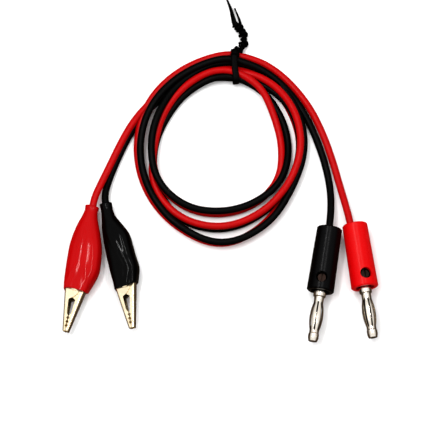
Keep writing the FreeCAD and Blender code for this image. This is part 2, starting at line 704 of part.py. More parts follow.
fill_sheet()
for name in ("red", "black"):
    plug = frame("plug", name)
    plug_housing(name, plug)
    plug_contact(name, plug)
    spring_cage(name, plug)
    clamp_screw(name, plug)
    strands(name, "plug", plug, "-barrel_length", "barrel_length - barrel_bore_end - strand_end_gap", "0")
    clip = frame("clip", name)
    jaw(name, "fixed", 1, "fixed_width", clip)
    jaw(name, "moving", -1, "moving_width", clip)
    pivot_pin(name, clip)
    torsion_spring(name, clip)
    strands(name, "clip", clip, "-tail_reach - crimp_gap", "crimp_gap - strand_end_gap", CRIMP_CENTRE)
    clip_boot(name, clip)
    cord_stretch(f"{name}_clip_lead", CLIP_LEADS[name])
    cord_stretch(f"{name}_plug_lead", PLUG_LEADS[name])
cord_coil()
twist_tie()
document.recompute()

failed = [item.Label for item in document.Objects if {"Invalid", "Error"} & set(item.State)]
names = r"(red|black)_(plug|clip)_|cord_coil|twist_tie"
made = [item for item in document.Objects if re.match(names, item.Label)]
for item in made:
    if item.Shape.isNull() or not item.Shape.isValid():
        failed.append(item.Label)
if failed:
    raise RuntimeError(f"not built: {failed}")
os.makedirs("parts", exist_ok=True)
for item in made:
    solids = len(item.Shape.Solids)
    print(f"{item.Label}: {solids} solid, {item.Shape.Volume:.1f} mm3")
    item.Shape.exportStep(f"parts/{item.Label}.step")
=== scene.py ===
# %% [markdown]
# # Bench test leads
# A red and a black test lead made from one bonded cord, coiled in three turns and held by a twist tie.
# Each wire has a 4 mm spring plug at one end and a booted crocodile clip at the other. The hard parts
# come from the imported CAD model. The soft ones (cord, vinyl boots and tie) and the clips' springs are
# made here, in the same frame and in metres.

import math

import bpy
import numpy as np
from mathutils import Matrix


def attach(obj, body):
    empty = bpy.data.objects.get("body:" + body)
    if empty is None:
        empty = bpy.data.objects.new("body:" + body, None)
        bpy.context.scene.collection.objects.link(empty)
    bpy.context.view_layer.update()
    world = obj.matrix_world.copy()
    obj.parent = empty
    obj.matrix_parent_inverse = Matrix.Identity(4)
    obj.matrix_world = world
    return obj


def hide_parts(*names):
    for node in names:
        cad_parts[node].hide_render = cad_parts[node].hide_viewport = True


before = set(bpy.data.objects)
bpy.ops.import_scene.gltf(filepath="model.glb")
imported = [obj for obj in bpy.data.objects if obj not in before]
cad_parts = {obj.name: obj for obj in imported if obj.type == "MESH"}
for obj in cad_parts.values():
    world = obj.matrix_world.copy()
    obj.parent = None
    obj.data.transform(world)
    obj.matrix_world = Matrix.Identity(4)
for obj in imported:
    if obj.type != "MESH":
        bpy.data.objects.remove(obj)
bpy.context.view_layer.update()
MM = 0.001
print("nodes in the frame:", len(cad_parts))

# %% [markdown]
# ## Camera, floor and light
# The leads lie flat and are seen from almost straight above, so the camera stands 75 degrees up with a
# long lens. A pale floor and one wide soft lamp give the low, even shadows of a product table, and two
# narrow tubes draw bright lines on the glossy parts.

# %% Camera
CAMERA_AIM = np.array([0.75, -22.5, 0.0]) * MM
CAMERA_DISTANCE = 2.0
CAMERA_ELEVATION = math.radians(75)
VIEW_WIDTH = 168.0 * MM
SENSOR_WIDTH_MM = 36


def add_camera():
    """A camera on the aim point's arc, with a lens that makes the view as wide as asked at the aim."""
    data = bpy.data.cameras.new("table_camera")
    data.sensor_width = SENSOR_WIDTH_MM
    data.clip_end = 10
    data.lens = SENSOR_WIDTH_MM * CAMERA_DISTANCE / VIEW_WIDTH
    camera = bpy.data.objects.new("table_camera", data)
    bpy.context.scene.collection.objects.link(camera)
    back = np.array([0, -math.cos(CAMERA_ELEVATION), math.sin(CAMERA_ELEVATION)])
    camera.location = CAMERA_AIM + CAMERA_DISTANCE * back
    camera.rotation_euler = (math.pi / 2 - CAMERA_ELEVATION, 0, 0)
    bpy.context.scene.camera = camera
    return camera


print("lens in mm:", round(add_camera().data.lens, 1))

# %% [markdown]
# A node graph is easier to read when each node is added in one way: its kind, its settings, then its
# inputs, where an input is either a number or another node's output. Colours are written as the hex
# values a designer would use, and one function turns them into linear light.

# %% Node and colour helpers
# the places of a colour mix's two colours and its result, because other kinds of mix share their names
MIX_FIRST, MIX_SECOND, MIX_RESULT = 6, 7, 2


def linear(hex_colour):
    """An sRGB hex colour as linear red, green, blue and alpha: the sRGB curve undone, channel by channel."""
    channels = np.array([int(hex_colour[i:i + 2], 16) for i in (1, 3, 5)]) / 255
    light = np.where(channels <= 0.04045, channels / 12.92, ((channels + 0.055) / 1.055) ** 2.4)
    return (*light.tolist(), 1.0)


def add(tree, kind, inputs=None, **settings):
    """A node of one kind, with its settings, and each input set to a value or linked to an output."""
    made = tree.nodes.new(kind)
    for name, setting in settings.items():
        setattr(made, name, setting)
    for name, given in (inputs or {}).items():
        if isinstance(given, bpy.types.NodeSocket):
            tree.links.new(given, made.inputs[name])
        else:
            made.inputs[name].default_value = given
    return made


print("red vinyl in linear light:", [round(c, 3) for c in linear("#D70A0F")])

# %% Floor, world and lamps


def add_floor():
    """A large pale sheet at the height the leads lie on."""
    half = 1.2
    corners = [(-half, -half, 0), (half, -half, 0), (half, half, 0), (-half, half, 0)]
    mesh = bpy.data.meshes.new("table_top")
    mesh.from_pydata(corners, [], [(0, 1, 2, 3)])
    floor = bpy.data.objects.new("table_top", mesh)
    bpy.context.scene.collection.objects.link(floor)
    paper = bpy.data.materials.new("matt_white_paper")
    paper.use_nodes = True
    shader = paper.node_tree.nodes["Principled BSDF"]
    shader.inputs["Base Color"].default_value = linear("#F6F6F6")
    shader.inputs["Roughness"].default_value = 0.9
    mesh.materials.append(paper)
    floor.visible_glossy = False
    return floor


def add_lamp(name, place, aim, size, watts, mirrored=True):
    """A flat lamp of a width and a length that looks at its aim.

    Without its mirror image it only adds soft light."""
    data = bpy.data.lights.new(name, "AREA")
    data.shape = "RECTANGLE"
    data.size, data.size_y = size
    data.energy = watts
    lamp = bpy.data.objects.new(name, data)
    bpy.context.scene.collection.objects.link(lamp)
    lamp.visible_glossy = mirrored
    lamp.location = place
    way = np.array(place) - np.array(aim)
    flat = math.hypot(way[0], way[1])
    lamp.rotation_euler = (math.atan2(flat, way[2]), 0, math.atan2(way[1], way[0]) + math.pi / 2)
    return lamp


def add_sky(tree):
    """White overhead and warm brown low down, so that a round metal edge has a dark side.

    The height of the way out, from 0.1 to 0.6, goes from the dark tone to the light one."""
    way = add(tree, "ShaderNodeTexCoord")
    parts = add(tree, "ShaderNodeSeparateXYZ", {"Vector": way.outputs["Generated"]})
    rise = add(tree, "ShaderNodeMapRange", {"Value": parts.outputs["Z"], "From Min": 0.1, "From Max": 0.6})
    tone = add(tree, "ShaderNodeMix", {"Factor": rise.outputs["Result"], MIX_FIRST: linear("#54483E"),
                                       MIX_SECOND: linear("#FFFFFF")}, data_type="RGBA")
    background = tree.nodes["Background"]
    tree.links.new(tone.outputs[MIX_RESULT], background.inputs["Color"])
    background.inputs["Strength"].default_value = 0.9


add_floor()
world = bpy.data.worlds.new("soft_white_room")
world.use_nodes = True
add_sky(world.node_tree)
bpy.context.scene.world = world
bpy.context.scene.view_settings.view_transform = "Standard"
bpy.context.scene.view_settings.look = "Medium High Contrast"
add_lamp("ceiling_soft_box", (-0.25, 0.25, 0.85), (0, 0, 0), (0.8, 0.8), 3.0, mirrored=False)
add_lamp("left_tube", (-0.22, 0.06, 0.75), (0, 0, 0), (0.5, 0.014), 1.7)
add_lamp("right_tube", (0.20, 0.10, 0.75), (0, 0, 0), (0.5, 0.012), 0.9)
print("lamps:", len(bpy.data.lights))

# %% [markdown]
# ## The cord
# Two 2.7 mm wires are bonded side by side and split near both ends. A wire is one smooth open curve
# through the whole lead: out of its clip, three turns round the coil, and into its plug. The pair's
# middle line is given by radius and height at each hour of a clock face, in millimetres. A twist says how
# the two wires lie there: side by side at 0 and 180 degrees, one on the other at 90 and 270.

# %% The pair round the coil
WIRE_DIAMETER = 2.7 * MM
WIRE_HALF_MM = 1.35
HOUR_DEGREES = 30
SIDES = {"red": 1, "black": -1}
COIL_CENTRE = np.array([0.0, 6.5])
PAIR_ROUND_THE_COIL = np.array([
    # radius, height and twist, from hour 11 before the first turn to hour 12 after the third
    [30.5, 1.35, 10],
    # first turn
    [28.8, 1.35, 0], [30.1, 2.6, 45], [30.0, 4.8, 80], [29.3, 5.0, 83], [28.5, 4.4, 85], [29.2, 2.65, 92],
    [31.2, 2.65, 98], [31.5, 2.4, 95], [29.0, 2.0, 60], [25.0, 2.5, 95], [24.4, 2.5, 56], [26.4, 2.6, 32],
    # second turn
    [29.3, 4.05, 0], [27.4, 3.2, 78], [23.8, 1.6, 165], [23.4, 1.35, 180], [24.8, 2.2, 240],
    [24.6, 2.6, 272], [25.0, 2.65, 280], [26.6, 3.0, 272], [27.4, 4.3, 266], [26.1, 4.9, 260],
    [26.4, 4.5, 252], [28.6, 2.7, 215],
    # third turn
    [32.6, 1.5, 180], [32.8, 1.35, 180], [30.6, 1.8, 205], [30.0, 2.45, 234], [29.1, 2.5, 228],
    [33.6, 2.5, 248], [37.8, 2.65, 266], [34.3, 2.65, 272], [32.0, 2.65, 286], [31.1, 2.9, 296],
    [31.6, 4.0, 311], [32.4, 4.0, 320],
    [35.3, 2.8, 315],
])
CLIP_LEADS = {
    "red": [(-49.3, -33.2, 5.1), (-48.6, -28.0, 5.0), (-49.0, -20.6, 4.6), (-47.8, -13.4, 4.5),
            (-44.9, -7.0, 4.2), (-41.4, 0.5, 4.0), (-37.6, 8.8, 3.95), (-33.7, 15.9, 3.7),
            (-29.0, 22.2, 2.8)],
    "black": [(-36.8, -30.9, 5.2), (-38.6, -26.0, 5.0), (-42.6, -19.2, 4.2), (-44.2, -13.2, 3.4),
              (-42.8, -6.8, 2.0), (-39.6, 1.6, 1.4), (-35.9, 9.9, 1.35), (-31.9, 16.8, 1.35),
              (-26.9, 22.9, 1.35)],
}
PLUG_LEADS = {
    "red": [(10.5, 41.9, 2.0), (18.0, 38.7, 1.6), (25.5, 32.5, 1.35), (33.0, 22.9, 1.35),
            (38.1, 12.0, 1.35), (41.6, 1.6, 1.35), (44.2, -8.2, 1.6), (46.6, -17.2, 3.6),
            (48.2, -24.6, 5.0), (50.2, -33.6, 5.1)],
    "black": [(10.0, 39.3, 3.6), (17.3, 35.9, 2.7), (24.6, 29.6, 1.7), (31.0, 20.6, 1.35),
              (35.4, 10.8, 1.35), (38.7, 0.8, 1.35), (40.7, -9.0, 1.6), (40.9, -17.6, 3.4),
              (40.1, -25.6, 5.0), (38.9, -34.8, 5.1)],
}


def wire_round_the_coil(side):
    """The pair's line moved half a wire along its twist, outwards for side 1 and inwards for side -1.

    A control point stands further out than the curve, by the cosine of half the step between two hours.
    A wire lies no lower than half its own thickness."""
    radius, height, twist = PAIR_ROUND_THE_COIL.T
    hour = np.radians(HOUR_DEGREES * (np.arange(len(radius)) - 1))
    shift = side * WIRE_HALF_MM
    out = (radius + shift * np.cos(np.radians(twist))) / math.cos(math.radians(HOUR_DEGREES / 2))
    up = np.maximum(height + shift * np.sin(np.radians(twist)), WIRE_HALF_MM)
    return np.stack([COIL_CENTRE[0] + out * np.sin(hour), COIL_CENTRE[1] + out * np.cos(hour), up], axis=1)


def wire_points(colour):
    """The control points of one wire from its clip to its plug."""
    coil = wire_round_the_coil(SIDES[colour])
    return np.vstack([CLIP_LEADS[colour], coil, PLUG_LEADS[colour]]) * MM


print("control points a wire:", len(wire_points("red")))

# %% Lay the wires


def lay_wire(colour):
    """A round wire along one open spline of order three, which is smooth where its points turn.

    The bevel is one metre at a point radius of one, so each point's radius is the wire's own."""
    points = wire_points(colour)
    curve = bpy.data.curves.new(f"{colour}_wire", "CURVE")
    curve.dimensions = "3D"
    curve.resolution_u = 8
    curve.bevel_depth = 1.0
    curve.bevel_resolution = 5
    curve.use_fill_caps = True
    spline = curve.splines.new("NURBS")
    spline.points.add(len(points) - 1)
    spline.points.foreach_set("co", np.hstack([points, np.ones((len(points), 1))]).ravel())
    spline.points.foreach_set("radius", np.full(len(points), WIRE_DIAMETER / 2))
    spline.order_u = 3
    spline.use_endpoint_u = True
    wire = bpy.data.objects.new(f"{colour}_wire", curve)
    bpy.context.scene.collection.objects.link(wire)
    return wire


wires = {colour: lay_wire(colour) for colour in ("red", "black")}
for colour, wire in wires.items():
    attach(wire, "lead")
    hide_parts(f"{colour}_clip_lead", f"{colour}_plug_lead", "cord_coil")
print("wires:", sorted(wires))

# %% [markdown]
# ## Surfaces
# Every new piece is a grid of points: one direction goes round a section, the other goes along the piece.
# The grid closes on itself round the section, and also along the piece where both ends meet. Otherwise a
# fan of triangles closes each end.

# %% Grid to mesh
LOWEST_MM = 0.02


def grid_piece(name, grid, loops=False, body="lead"):
    """A mesh from a grid of points (along, round, xyz). It closes round, and along too when it loops.

    No point goes below the table."""
    grid[..., 2] = np.maximum(grid[..., 2], LOWEST_MM * MM)
    along, around = grid.shape[:2]
    rows = np.arange(along if loops else along - 1)
    first, step = np.meshgrid(rows, np.arange(around), indexing="ij")
    after, turn = (first + 1) % along, (step + 1) % around
    here, ahead = first * around, after * around
    quads = np.stack([here + step, here + turn, ahead + turn, ahead + step], -1)
    points, faces = grid.reshape(-1, 3), quads.reshape(-1, 4).tolist()
    if not loops:
        points = np.vstack([points, grid[0].mean(0), grid[-1].mean(0)])
        ring, turned = np.arange(around), (np.arange(around) + 1) % around
        low, high = np.full(around, len(points) - 2), np.full(around, len(points) - 1)
        faces += np.stack([low, turned, ring], -1).tolist()
        last = (along - 1) * around
        faces += np.stack([high, last + ring, last + turned], -1).tolist()
    mesh = bpy.data.meshes.new(name)
    mesh.from_pydata(points.tolist(), [], faces)
    mesh.shade_smooth()
    piece = bpy.data.objects.new(name, mesh)
    bpy.context.scene.collection.objects.link(piece)
    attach(piece, body)
    return piece


def through(stations, values, at):
    """A smooth line through values at rising stations.

    Between two stations it is a cubic. Its slope at a station is the mean of the two chords beside it."""
    stations, values = np.asarray(stations, float), np.asarray(values, float)
    slopes = np.gradient(values, stations, axis=0)
    spot = np.clip(np.searchsorted(stations, at) - 1, 0, len(stations) - 2)
    span = stations[spot + 1] - stations[spot]
    share = (at - stations[spot]) / span
    shape = (-1,) + (1,) * (values.ndim - 1)
    share, span = share.reshape(shape), span.reshape(shape)
    from_here = (2 * share ** 3 - 3 * share ** 2 + 1) * values[spot]
    to_next = (3 * share ** 2 - 2 * share ** 3) * values[spot + 1]
    slope_here = (share ** 3 - 2 * share ** 2 + share) * span * slopes[spot]
    slope_next = (share ** 3 - share ** 2) * span * slopes[spot + 1]
    return from_here + slope_here + to_next + slope_next


def placed(points, middle, yaw, roll):
    """Points of a part along its own X axis, rolled about it, turned about Z, moved, and put in metres."""
    turn, lean = math.radians(yaw), math.radians(roll)
    ahead = np.array([math.cos(turn), math.sin(turn), 0])
    left = np.array([-math.sin(turn) * math.cos(lean), math.cos(turn) * math.cos(lean), math.sin(lean)])
    top = np.cross(ahead, left)
    turned = points[..., :1] * ahead + points[..., 1:2] * left + points[..., 2:] * top
    return (np.asarray(middle) + turned) * MM


def superellipse(turn, power):
    """How far a rounded rectangle reaches at an angle, given the power that rounds it.

    It is the sum of cosine and sine to that power, taken to minus one over the power."""
    return (np.abs(np.cos(turn)) ** power + np.abs(np.sin(turn)) ** power) ** (-1 / power)


def across_path(path):
    """The level way across a path at each of its points, and the way square to it and to the path."""
    ahead = np.gradient(path, axis=0)
    ahead /= np.linalg.norm(ahead, axis=1, keepdims=True)
    side = np.cross(ahead, [0, 0, 1.0])
    side /= np.linalg.norm(side, axis=1, keepdims=True)
    return side, np.cross(side, ahead)


print("straight check:", through([0, 1, 2], [0, 1, 2], np.array([0.5])))

# %% [markdown]
# ## The vinyl boots
# A boot is dipped: a former is dropped in liquid vinyl and the skin is peeled off, so it is soft, thin
# and very glossy, squarish at the mouth where it hugs the sheet metal and round at the cord. It is
# modelled as a tube whose section changes from mouth to collar, with a wall, a rolled lip, and the long
# shallow folds that it gets in use.

# %% Boot sections
BOOT_PLACES = {"red": ((-54.4, -49.0, 4.8), -102.8, 12.0), "black": ((-35.8, -47.4, 4.8), -81.4, 16.0)}
BOOT_SECTIONS = {
    # distance behind the pivot, lowest and highest side reach, half height, squareness
    "red": np.array([
        [-0.8, -4.3, 4.5, 3.6, 4.0], [2.0, -4.9, 5.4, 3.9, 3.6], [4.3, -5.2, 6.2, 4.1, 3.3],
        [6.7, -5.5, 6.9, 4.3, 3.0], [12.0, -6.0, 6.8, 4.4, 2.8], [16.7, -6.2, 6.0, 4.4, 2.7],
        [20.0, -6.0, 5.0, 4.2, 2.5], [25.0, -5.2, 3.0, 3.5, 2.2], [28.8, -4.2, 1.5, 2.8, 2.0],
        [30.6, -3.9, 1.1, 2.5, 2.0], [32.4, -4.1, 1.2, 2.6, 2.0]]),
    "black": np.array([
        [-0.8, -4.2, 4.4, 3.6, 4.0], [2.0, -4.4, 5.1, 3.9, 3.6], [5.8, -4.9, 5.8, 4.2, 3.2],
        [7.6, -5.1, 5.7, 4.3, 3.0], [10.6, -5.4, 5.2, 4.3, 2.8], [15.0, -5.7, 4.7, 4.3, 2.7],
        [19.6, -5.9, 4.0, 4.1, 2.5], [23.5, -5.8, 2.0, 3.6, 2.2], [27.2, -5.4, -0.1, 2.7, 2.0],
        [30.0, -5.2, -0.7, 2.3, 2.0], [32.4, -5.4, -0.7, 2.4, 2.0]]),
}
BOOT_CREASES = {
    # start and end behind the pivot, angle round the boot at each, height, and half width in degrees
    "red": [(6, 20, 104, 100, 0.28, 9), (0, 8, 130, 106, 0.26, 8), (-1, 6, 112, 103, 0.2, 7),
            (3, 9, 56, 76, 0.26, 8)],
    "black": [(7, 19, 84, 112, 0.24, 7), (6.5, 18, 66, 93, 0.24, 7), (-0.5, 4, 80, 68, 0.24, 8)],
}
CREASE_FADE = 12
FOLDS_ON_TOP = 0.6
MOUTH_SLANT = {"red": -0.05, "black": -0.2}
MOUTH_WAVE = 0.35
WAVE_FADE, SLANT_FADE = 2.5, 4.0
BOOT_MOUTH, LIP_START, BOOT_END = -0.8, -0.6, 32.4
LIP_BULGE = 0.25
BOOT_WALL = 0.5
NECK_START, NECK_RATE = 26.5, 1.5
CORD_HOLE = 1.38


def bell(place, middle, width):
    """One at the middle, close to nothing two widths away: e to the power of minus the distance squared."""
    return np.exp(-((place - middle) / width) ** 2)


def step_up(place):
    """Nothing far below zero and one far above it: one over one plus e to the power of minus the place."""
    return 1 / (1 + np.exp(-place))


def boot_profile():
    """The wall's outline as (distance back, inset): outer skin to the mouth, round lip, then inner skin."""
    outer = np.linspace(BOOT_END, LIP_START, 90)
    lip = np.linspace(0, math.pi, 9)[1:-1]
    inner = np.linspace(LIP_START, BOOT_END, 60)
    back = np.concatenate([outer, LIP_START - LIP_BULGE * np.sin(lip), inner])
    inset = np.concatenate([np.zeros(len(outer)), 0.5 - 0.5 * np.cos(lip), np.ones(len(inner))])
    return back[:, None], inset[:, None]


def boot_creases(colour, back, turn):
    """Sharp folds. A crease is a bell curve round the boot whose middle drifts with the distance back, and
    it fades in and out at its two ends."""
    height = np.zeros((len(back), turn.shape[1]))
    for start, end, first, last, tall, half in BOOT_CREASES[colour]:
        along = (back - start) / (end - start)
        middle = np.radians(first + (last - first) * along)
        fade = step_up(CREASE_FADE * along) * step_up(CREASE_FADE * (1 - along))
        height += tall * fade * bell(turn, middle, math.radians(half))
    return height


def boot_folds(colour, back, turn):
    """Waves and creases of the skin. The sum of three waves, nine, sixteen and five to a turn, drifts along
    the boot, and it is strongest 4 mm and 15 mm behind the pivot."""
    side = SIDES[colour]
    strength = 0.02 * bell(back, 15, 9.0) + 0.04 * bell(back, 4, 3.0)
    waves = (np.sin(9 * turn + side * back / 10) + 0.8 * np.sin(16 * turn - side * back / 7)
             + 0.5 * np.sin(5 * turn + back / 4))
    return strength * waves + boot_creases(colour, back, turn)


def boot_skin(colour, around=240):
    """Each section is a superellipse between its side reaches, moved in and out by the folds.

    The inner skin narrows to the cord behind the neck. The mouth's edge waves back and forth and slants, and
    both fade behind it."""
    back, inset = boot_profile()
    sections = BOOT_SECTIONS[colour]
    low, high, tall, square = through(sections[:, 0], sections[:, 1:], back[:, 0]).T[..., None]
    wide, middle = (high - low) / 2, (high + low) / 2
    snug = step_up((back - NECK_START) * NECK_RATE)
    wall = BOOT_WALL * (1 - snug) + (np.minimum(wide, tall) - CORD_HOLE) * snug
    turn = np.linspace(0, 2 * math.pi, around, endpoint=False)[None, :]
    reach = superellipse(turn, square)
    folds, thick = boot_folds(colour, back, turn), wall * inset
    across = middle + np.cos(turn) * reach * (wide - thick + folds)
    up = np.sin(turn) * reach * (tall - thick + folds * FOLDS_ON_TOP)
    behind = np.maximum(back - BOOT_MOUTH, 0)
    wave = MOUTH_WAVE * np.sin(2 * turn + 0.6 * SIDES[colour]) * np.exp(-behind / WAVE_FADE)
    slant = MOUTH_SLANT[colour] * across * np.exp(-behind / SLANT_FADE)
    return np.stack([wave + slant - back, across, up], -1)


boots = {}
for colour, (middle, yaw, roll) in BOOT_PLACES.items():
    skin = placed(boot_skin(colour), middle, yaw, roll)
    boots[colour] = grid_piece(f"{colour}_vinyl_boot", skin, loops=True)
    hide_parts(f"{colour}_clip_boot")
    print(colour, "boot rises to", round(float(skin[..., 2].max() / MM), 2), "mm")

# %% [markdown]
# ## The clip springs
# The spring that shuts a clip is drawn steel wire, wound close round the rivet, with a straight leg along
# each tail. The coil and one leg stay with the fixed jaw. The other leg is a piece of its own that turns
# with the moving jaw about the same rivet, so that it follows its tail when the clip opens.

# %% Springs
SPRING_WIRE = 0.42
SPRING_RADIUS = 1.25
SPRING_RISE = 0.82
SPRING_TURNS = 3.5
SPRING_LEG_END = (-6.5, 2.57)


def round_wire(path, diameter, around=12):
    """A circle carried along a path, across its way."""
    side, rise = across_path(path)
    turn = np.linspace(0, 2 * math.pi, around, endpoint=False)[:, None]
    return path[:, None] + diameter / 2 * (np.cos(turn) * side[:, None] + np.sin(turn) * rise[:, None])


def spring_coil():
    """A helix about the rivet, then a straight leg from its top."""
    angle = np.linspace(-0.5 * math.pi, (2 * SPRING_TURNS - 0.5) * math.pi, 170)
    height = np.linspace(-SPRING_RISE, SPRING_RISE, len(angle))
    coil = np.stack([SPRING_RADIUS * np.cos(angle), SPRING_RADIUS * np.sin(angle), height], 1)
    share = np.linspace(0.02, 1, 12)[:, None]
    leg = (1 - share) * coil[-1] + share * np.array([*SPRING_LEG_END, SPRING_RISE])
    return round_wire(np.vstack([coil, leg]), SPRING_WIRE)


def spring_leg():
    """A straight wire from the bottom of the coil to the moving tail."""
    share = np.linspace(0, 1, 12)[:, None]
    start = np.array([0.0, -SPRING_RADIUS, -SPRING_RISE])
    end = np.array([SPRING_LEG_END[0], -SPRING_LEG_END[1], -SPRING_RISE])
    return round_wire((1 - share) * start + share * end, SPRING_WIRE)


springs = []
for colour, (middle, yaw, roll) in BOOT_PLACES.items():
    coil = grid_piece(f"{colour}_spring_coil", placed(spring_coil(), middle, yaw, roll))
    leg = grid_piece(f"{colour}_spring_moving_leg", placed(spring_leg(), middle, yaw, roll),
                     body=f"{colour}_moving_jaw")
    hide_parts(f"{colour}_clip_spring")
    springs += [coil, leg]
print("spring pieces:", [piece.name for piece in springs])

# %% [markdown]
# ## The twist tie
# The tie is a flat plastic strip with a wire in it. It goes once round the turns, then its two ends are
# twisted on each other in a knotty stem and left loose: one long, one short. The band is a ribbon section
# along a rounded loop, and the stem is two ribbons that wind round one line.

# %% Ribbons along a path


def ribbon(path, wide, thick, spin, around=16):
    """A flat rounded section carried along a path: an ellipse with fourth-power sides that turns by spin."""
    side, rise = across_path(path)
    turn = np.linspace(0, 2 * math.pi, around, endpoint=False)
    reach = superellipse(turn, 4)
    flat, tall = np.outer(wide / 2, np.cos(turn) * reach), np.outer(thick / 2, np.sin(turn) * reach)
    across = flat * np.cos(spin)[:, None] - tall * np.sin(spin)[:, None]
    up = flat * np.sin(spin)[:, None] + tall * np.cos(spin)[:, None]
    return path[:, None] + across[..., None] * side[:, None] + up[..., None] * rise[:, None]


def wound(path, radius, turns, phase):
    """A line that winds round a path at a radius, a number of turns from end to end, and its angle there."""
    side, rise = across_path(path)
    angle = np.linspace(0, 2 * math.pi * turns, len(path)) + phase
    return path + radius * (np.cos(angle)[:, None] * side + np.sin(angle)[:, None] * rise), angle


# %% Tie lines and band
TIE_LINES = {
    "stem": [(5.0, 41.5, 5.6), (4.9, 43.6, 4.2), (6.6, 45.2, 2.6), (8.0, 47.4, 1.8), (8.1, 50.0, 1.6),
             (7.6, 52.4, 1.6), (6.3, 54.0, 1.6), (4.7, 55.3, 1.6)],
    "long_end": [(5.4, 54.4, 1.6), (4.6, 56.2, 1.5), (4.0, 58.6, 1.4), (3.3, 61.4, 1.3),
                 (2.2, 64.4, 1.2), (0.9, 68.2, 1.2)],
    "short_end": [(7.7, 52.6, 1.6), (7.2, 54.6, 1.4), (6.5, 57.4, 1.0), (5.6, 59.9, 0.8), (4.8, 61.9, 0.7)],
}
BAND_INNER, BAND_OUTER = 25.3, 38.1
BAND_BOTTOM, BAND_TOP = 0.27, 6.15
BAND_HALF_WIDTH, BAND_HALF_THICKNESS = 1.2, 0.24
BAND_ROUNDNESS = (6.4, 2.9)
BAND_LEAN = math.radians(-4)
BAND_SHIFT, BAND_WOBBLE = 7.1, 0.12


def tie_line(name, count):
    """One of the tie's own lines, smooth through its chosen points."""
    points = np.array(TIE_LINES[name])
    return through(np.arange(len(points)), points, np.linspace(0, len(points) - 1, count))


def tie_band(count=120, around=12):
    """A flat strip on a rounded loop that stands across the turns: a superellipse in radius and height.

    The strip's section is a smaller superellipse, and the strip wanders sideways three times round."""
    turn = np.linspace(0, 2 * math.pi, count, endpoint=False)
    reach = superellipse(turn, 5)
    out = (BAND_INNER + BAND_OUTER) / 2 + (BAND_OUTER - BAND_INNER) / 2 * np.cos(turn) * reach
    up = BAND_BOTTOM + (BAND_TOP - BAND_BOTTOM) * (0.5 + 0.5 * np.sin(turn) * reach)
    normal = np.stack([np.cos(turn) / BAND_ROUNDNESS[0], np.sin(turn) / BAND_ROUNDNESS[1]], 1)
    normal /= np.linalg.norm(normal, axis=1, keepdims=True)
    section = np.linspace(0, 2 * math.pi, around, endpoint=False)
    lobe = superellipse(section, 4)
    flat = BAND_HALF_WIDTH * np.cos(section) * lobe
    thick = BAND_HALF_THICKNESS * np.sin(section) * lobe
    out, up = out[:, None] + normal[:, :1] * thick, up[:, None] + normal[:, 1:] * thick
    across = flat[None, :] + BAND_WOBBLE * np.sin(3 * turn)[:, None]
    x = BAND_SHIFT + out * math.sin(BAND_LEAN) + across * math.cos(BAND_LEAN)
    y = COIL_CENTRE[1] + out * math.cos(BAND_LEAN) - across * math.sin(BAND_LEAN)
    return np.stack([x, y, up], -1) * MM


# %% Tie pieces
STRAND_RADIUS, STRAND_TURNS = 0.5, 5.5
STRAND_WIDTH, STRAND_THICKNESS, STRAND_TILT = 2.3, 0.85, 0.3
KNOT_SWELL, KNOT_ANGLE = 0.28, 31
END_TILT, END_TAPER = 0.2, 0.92
LOOSE_ENDS = {
    # width, thickness, and the angle that the strip has turned to at its tip
    "long_end": (2.0, 0.7, 1.9),
    "short_end": (1.15, 0.6, 2.0),
}
tie = [grid_piece("tie_band", tie_band(), loops=True)]
stem = tie_line("stem", 260)
for number, phase in enumerate((0, math.pi)):
    line, angle = wound(stem, STRAND_RADIUS, STRAND_TURNS, phase)
    size = 1 + KNOT_SWELL * np.sin(np.linspace(0, KNOT_ANGLE, len(line)) + 2 * phase)
    strand = ribbon(line, STRAND_WIDTH * size, STRAND_THICKNESS * size, angle + STRAND_TILT) * MM
    tie.append(grid_piece(f"tie_stem_strand_{number}", strand))
for name, (wide, thick, spin) in LOOSE_ENDS.items():
    line = tie_line(name, 80)
    size = np.linspace(1.0, END_TAPER, len(line))
    strip = ribbon(line, wide * size, thick * size, np.linspace(END_TILT, spin, len(line))) * MM
    tie.append(grid_piece(f"tie_{name}", strip))
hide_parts("twist_tie_ribbon")
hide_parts("twist_tie_core_wire")
print("tie pieces:", len(tie))

# %% [markdown]
# ## Finishes
# Each finish starts from what the real one is and how its surface was made. Patterns are sized in
# millimetres: a noise texture's scale is its number of features in a metre, so a feature of 2 mm is a
# scale of 500.

# %% One finish
SLOW_GRAINS = 8
RELIEF_DEPTH = 0.05 * MM


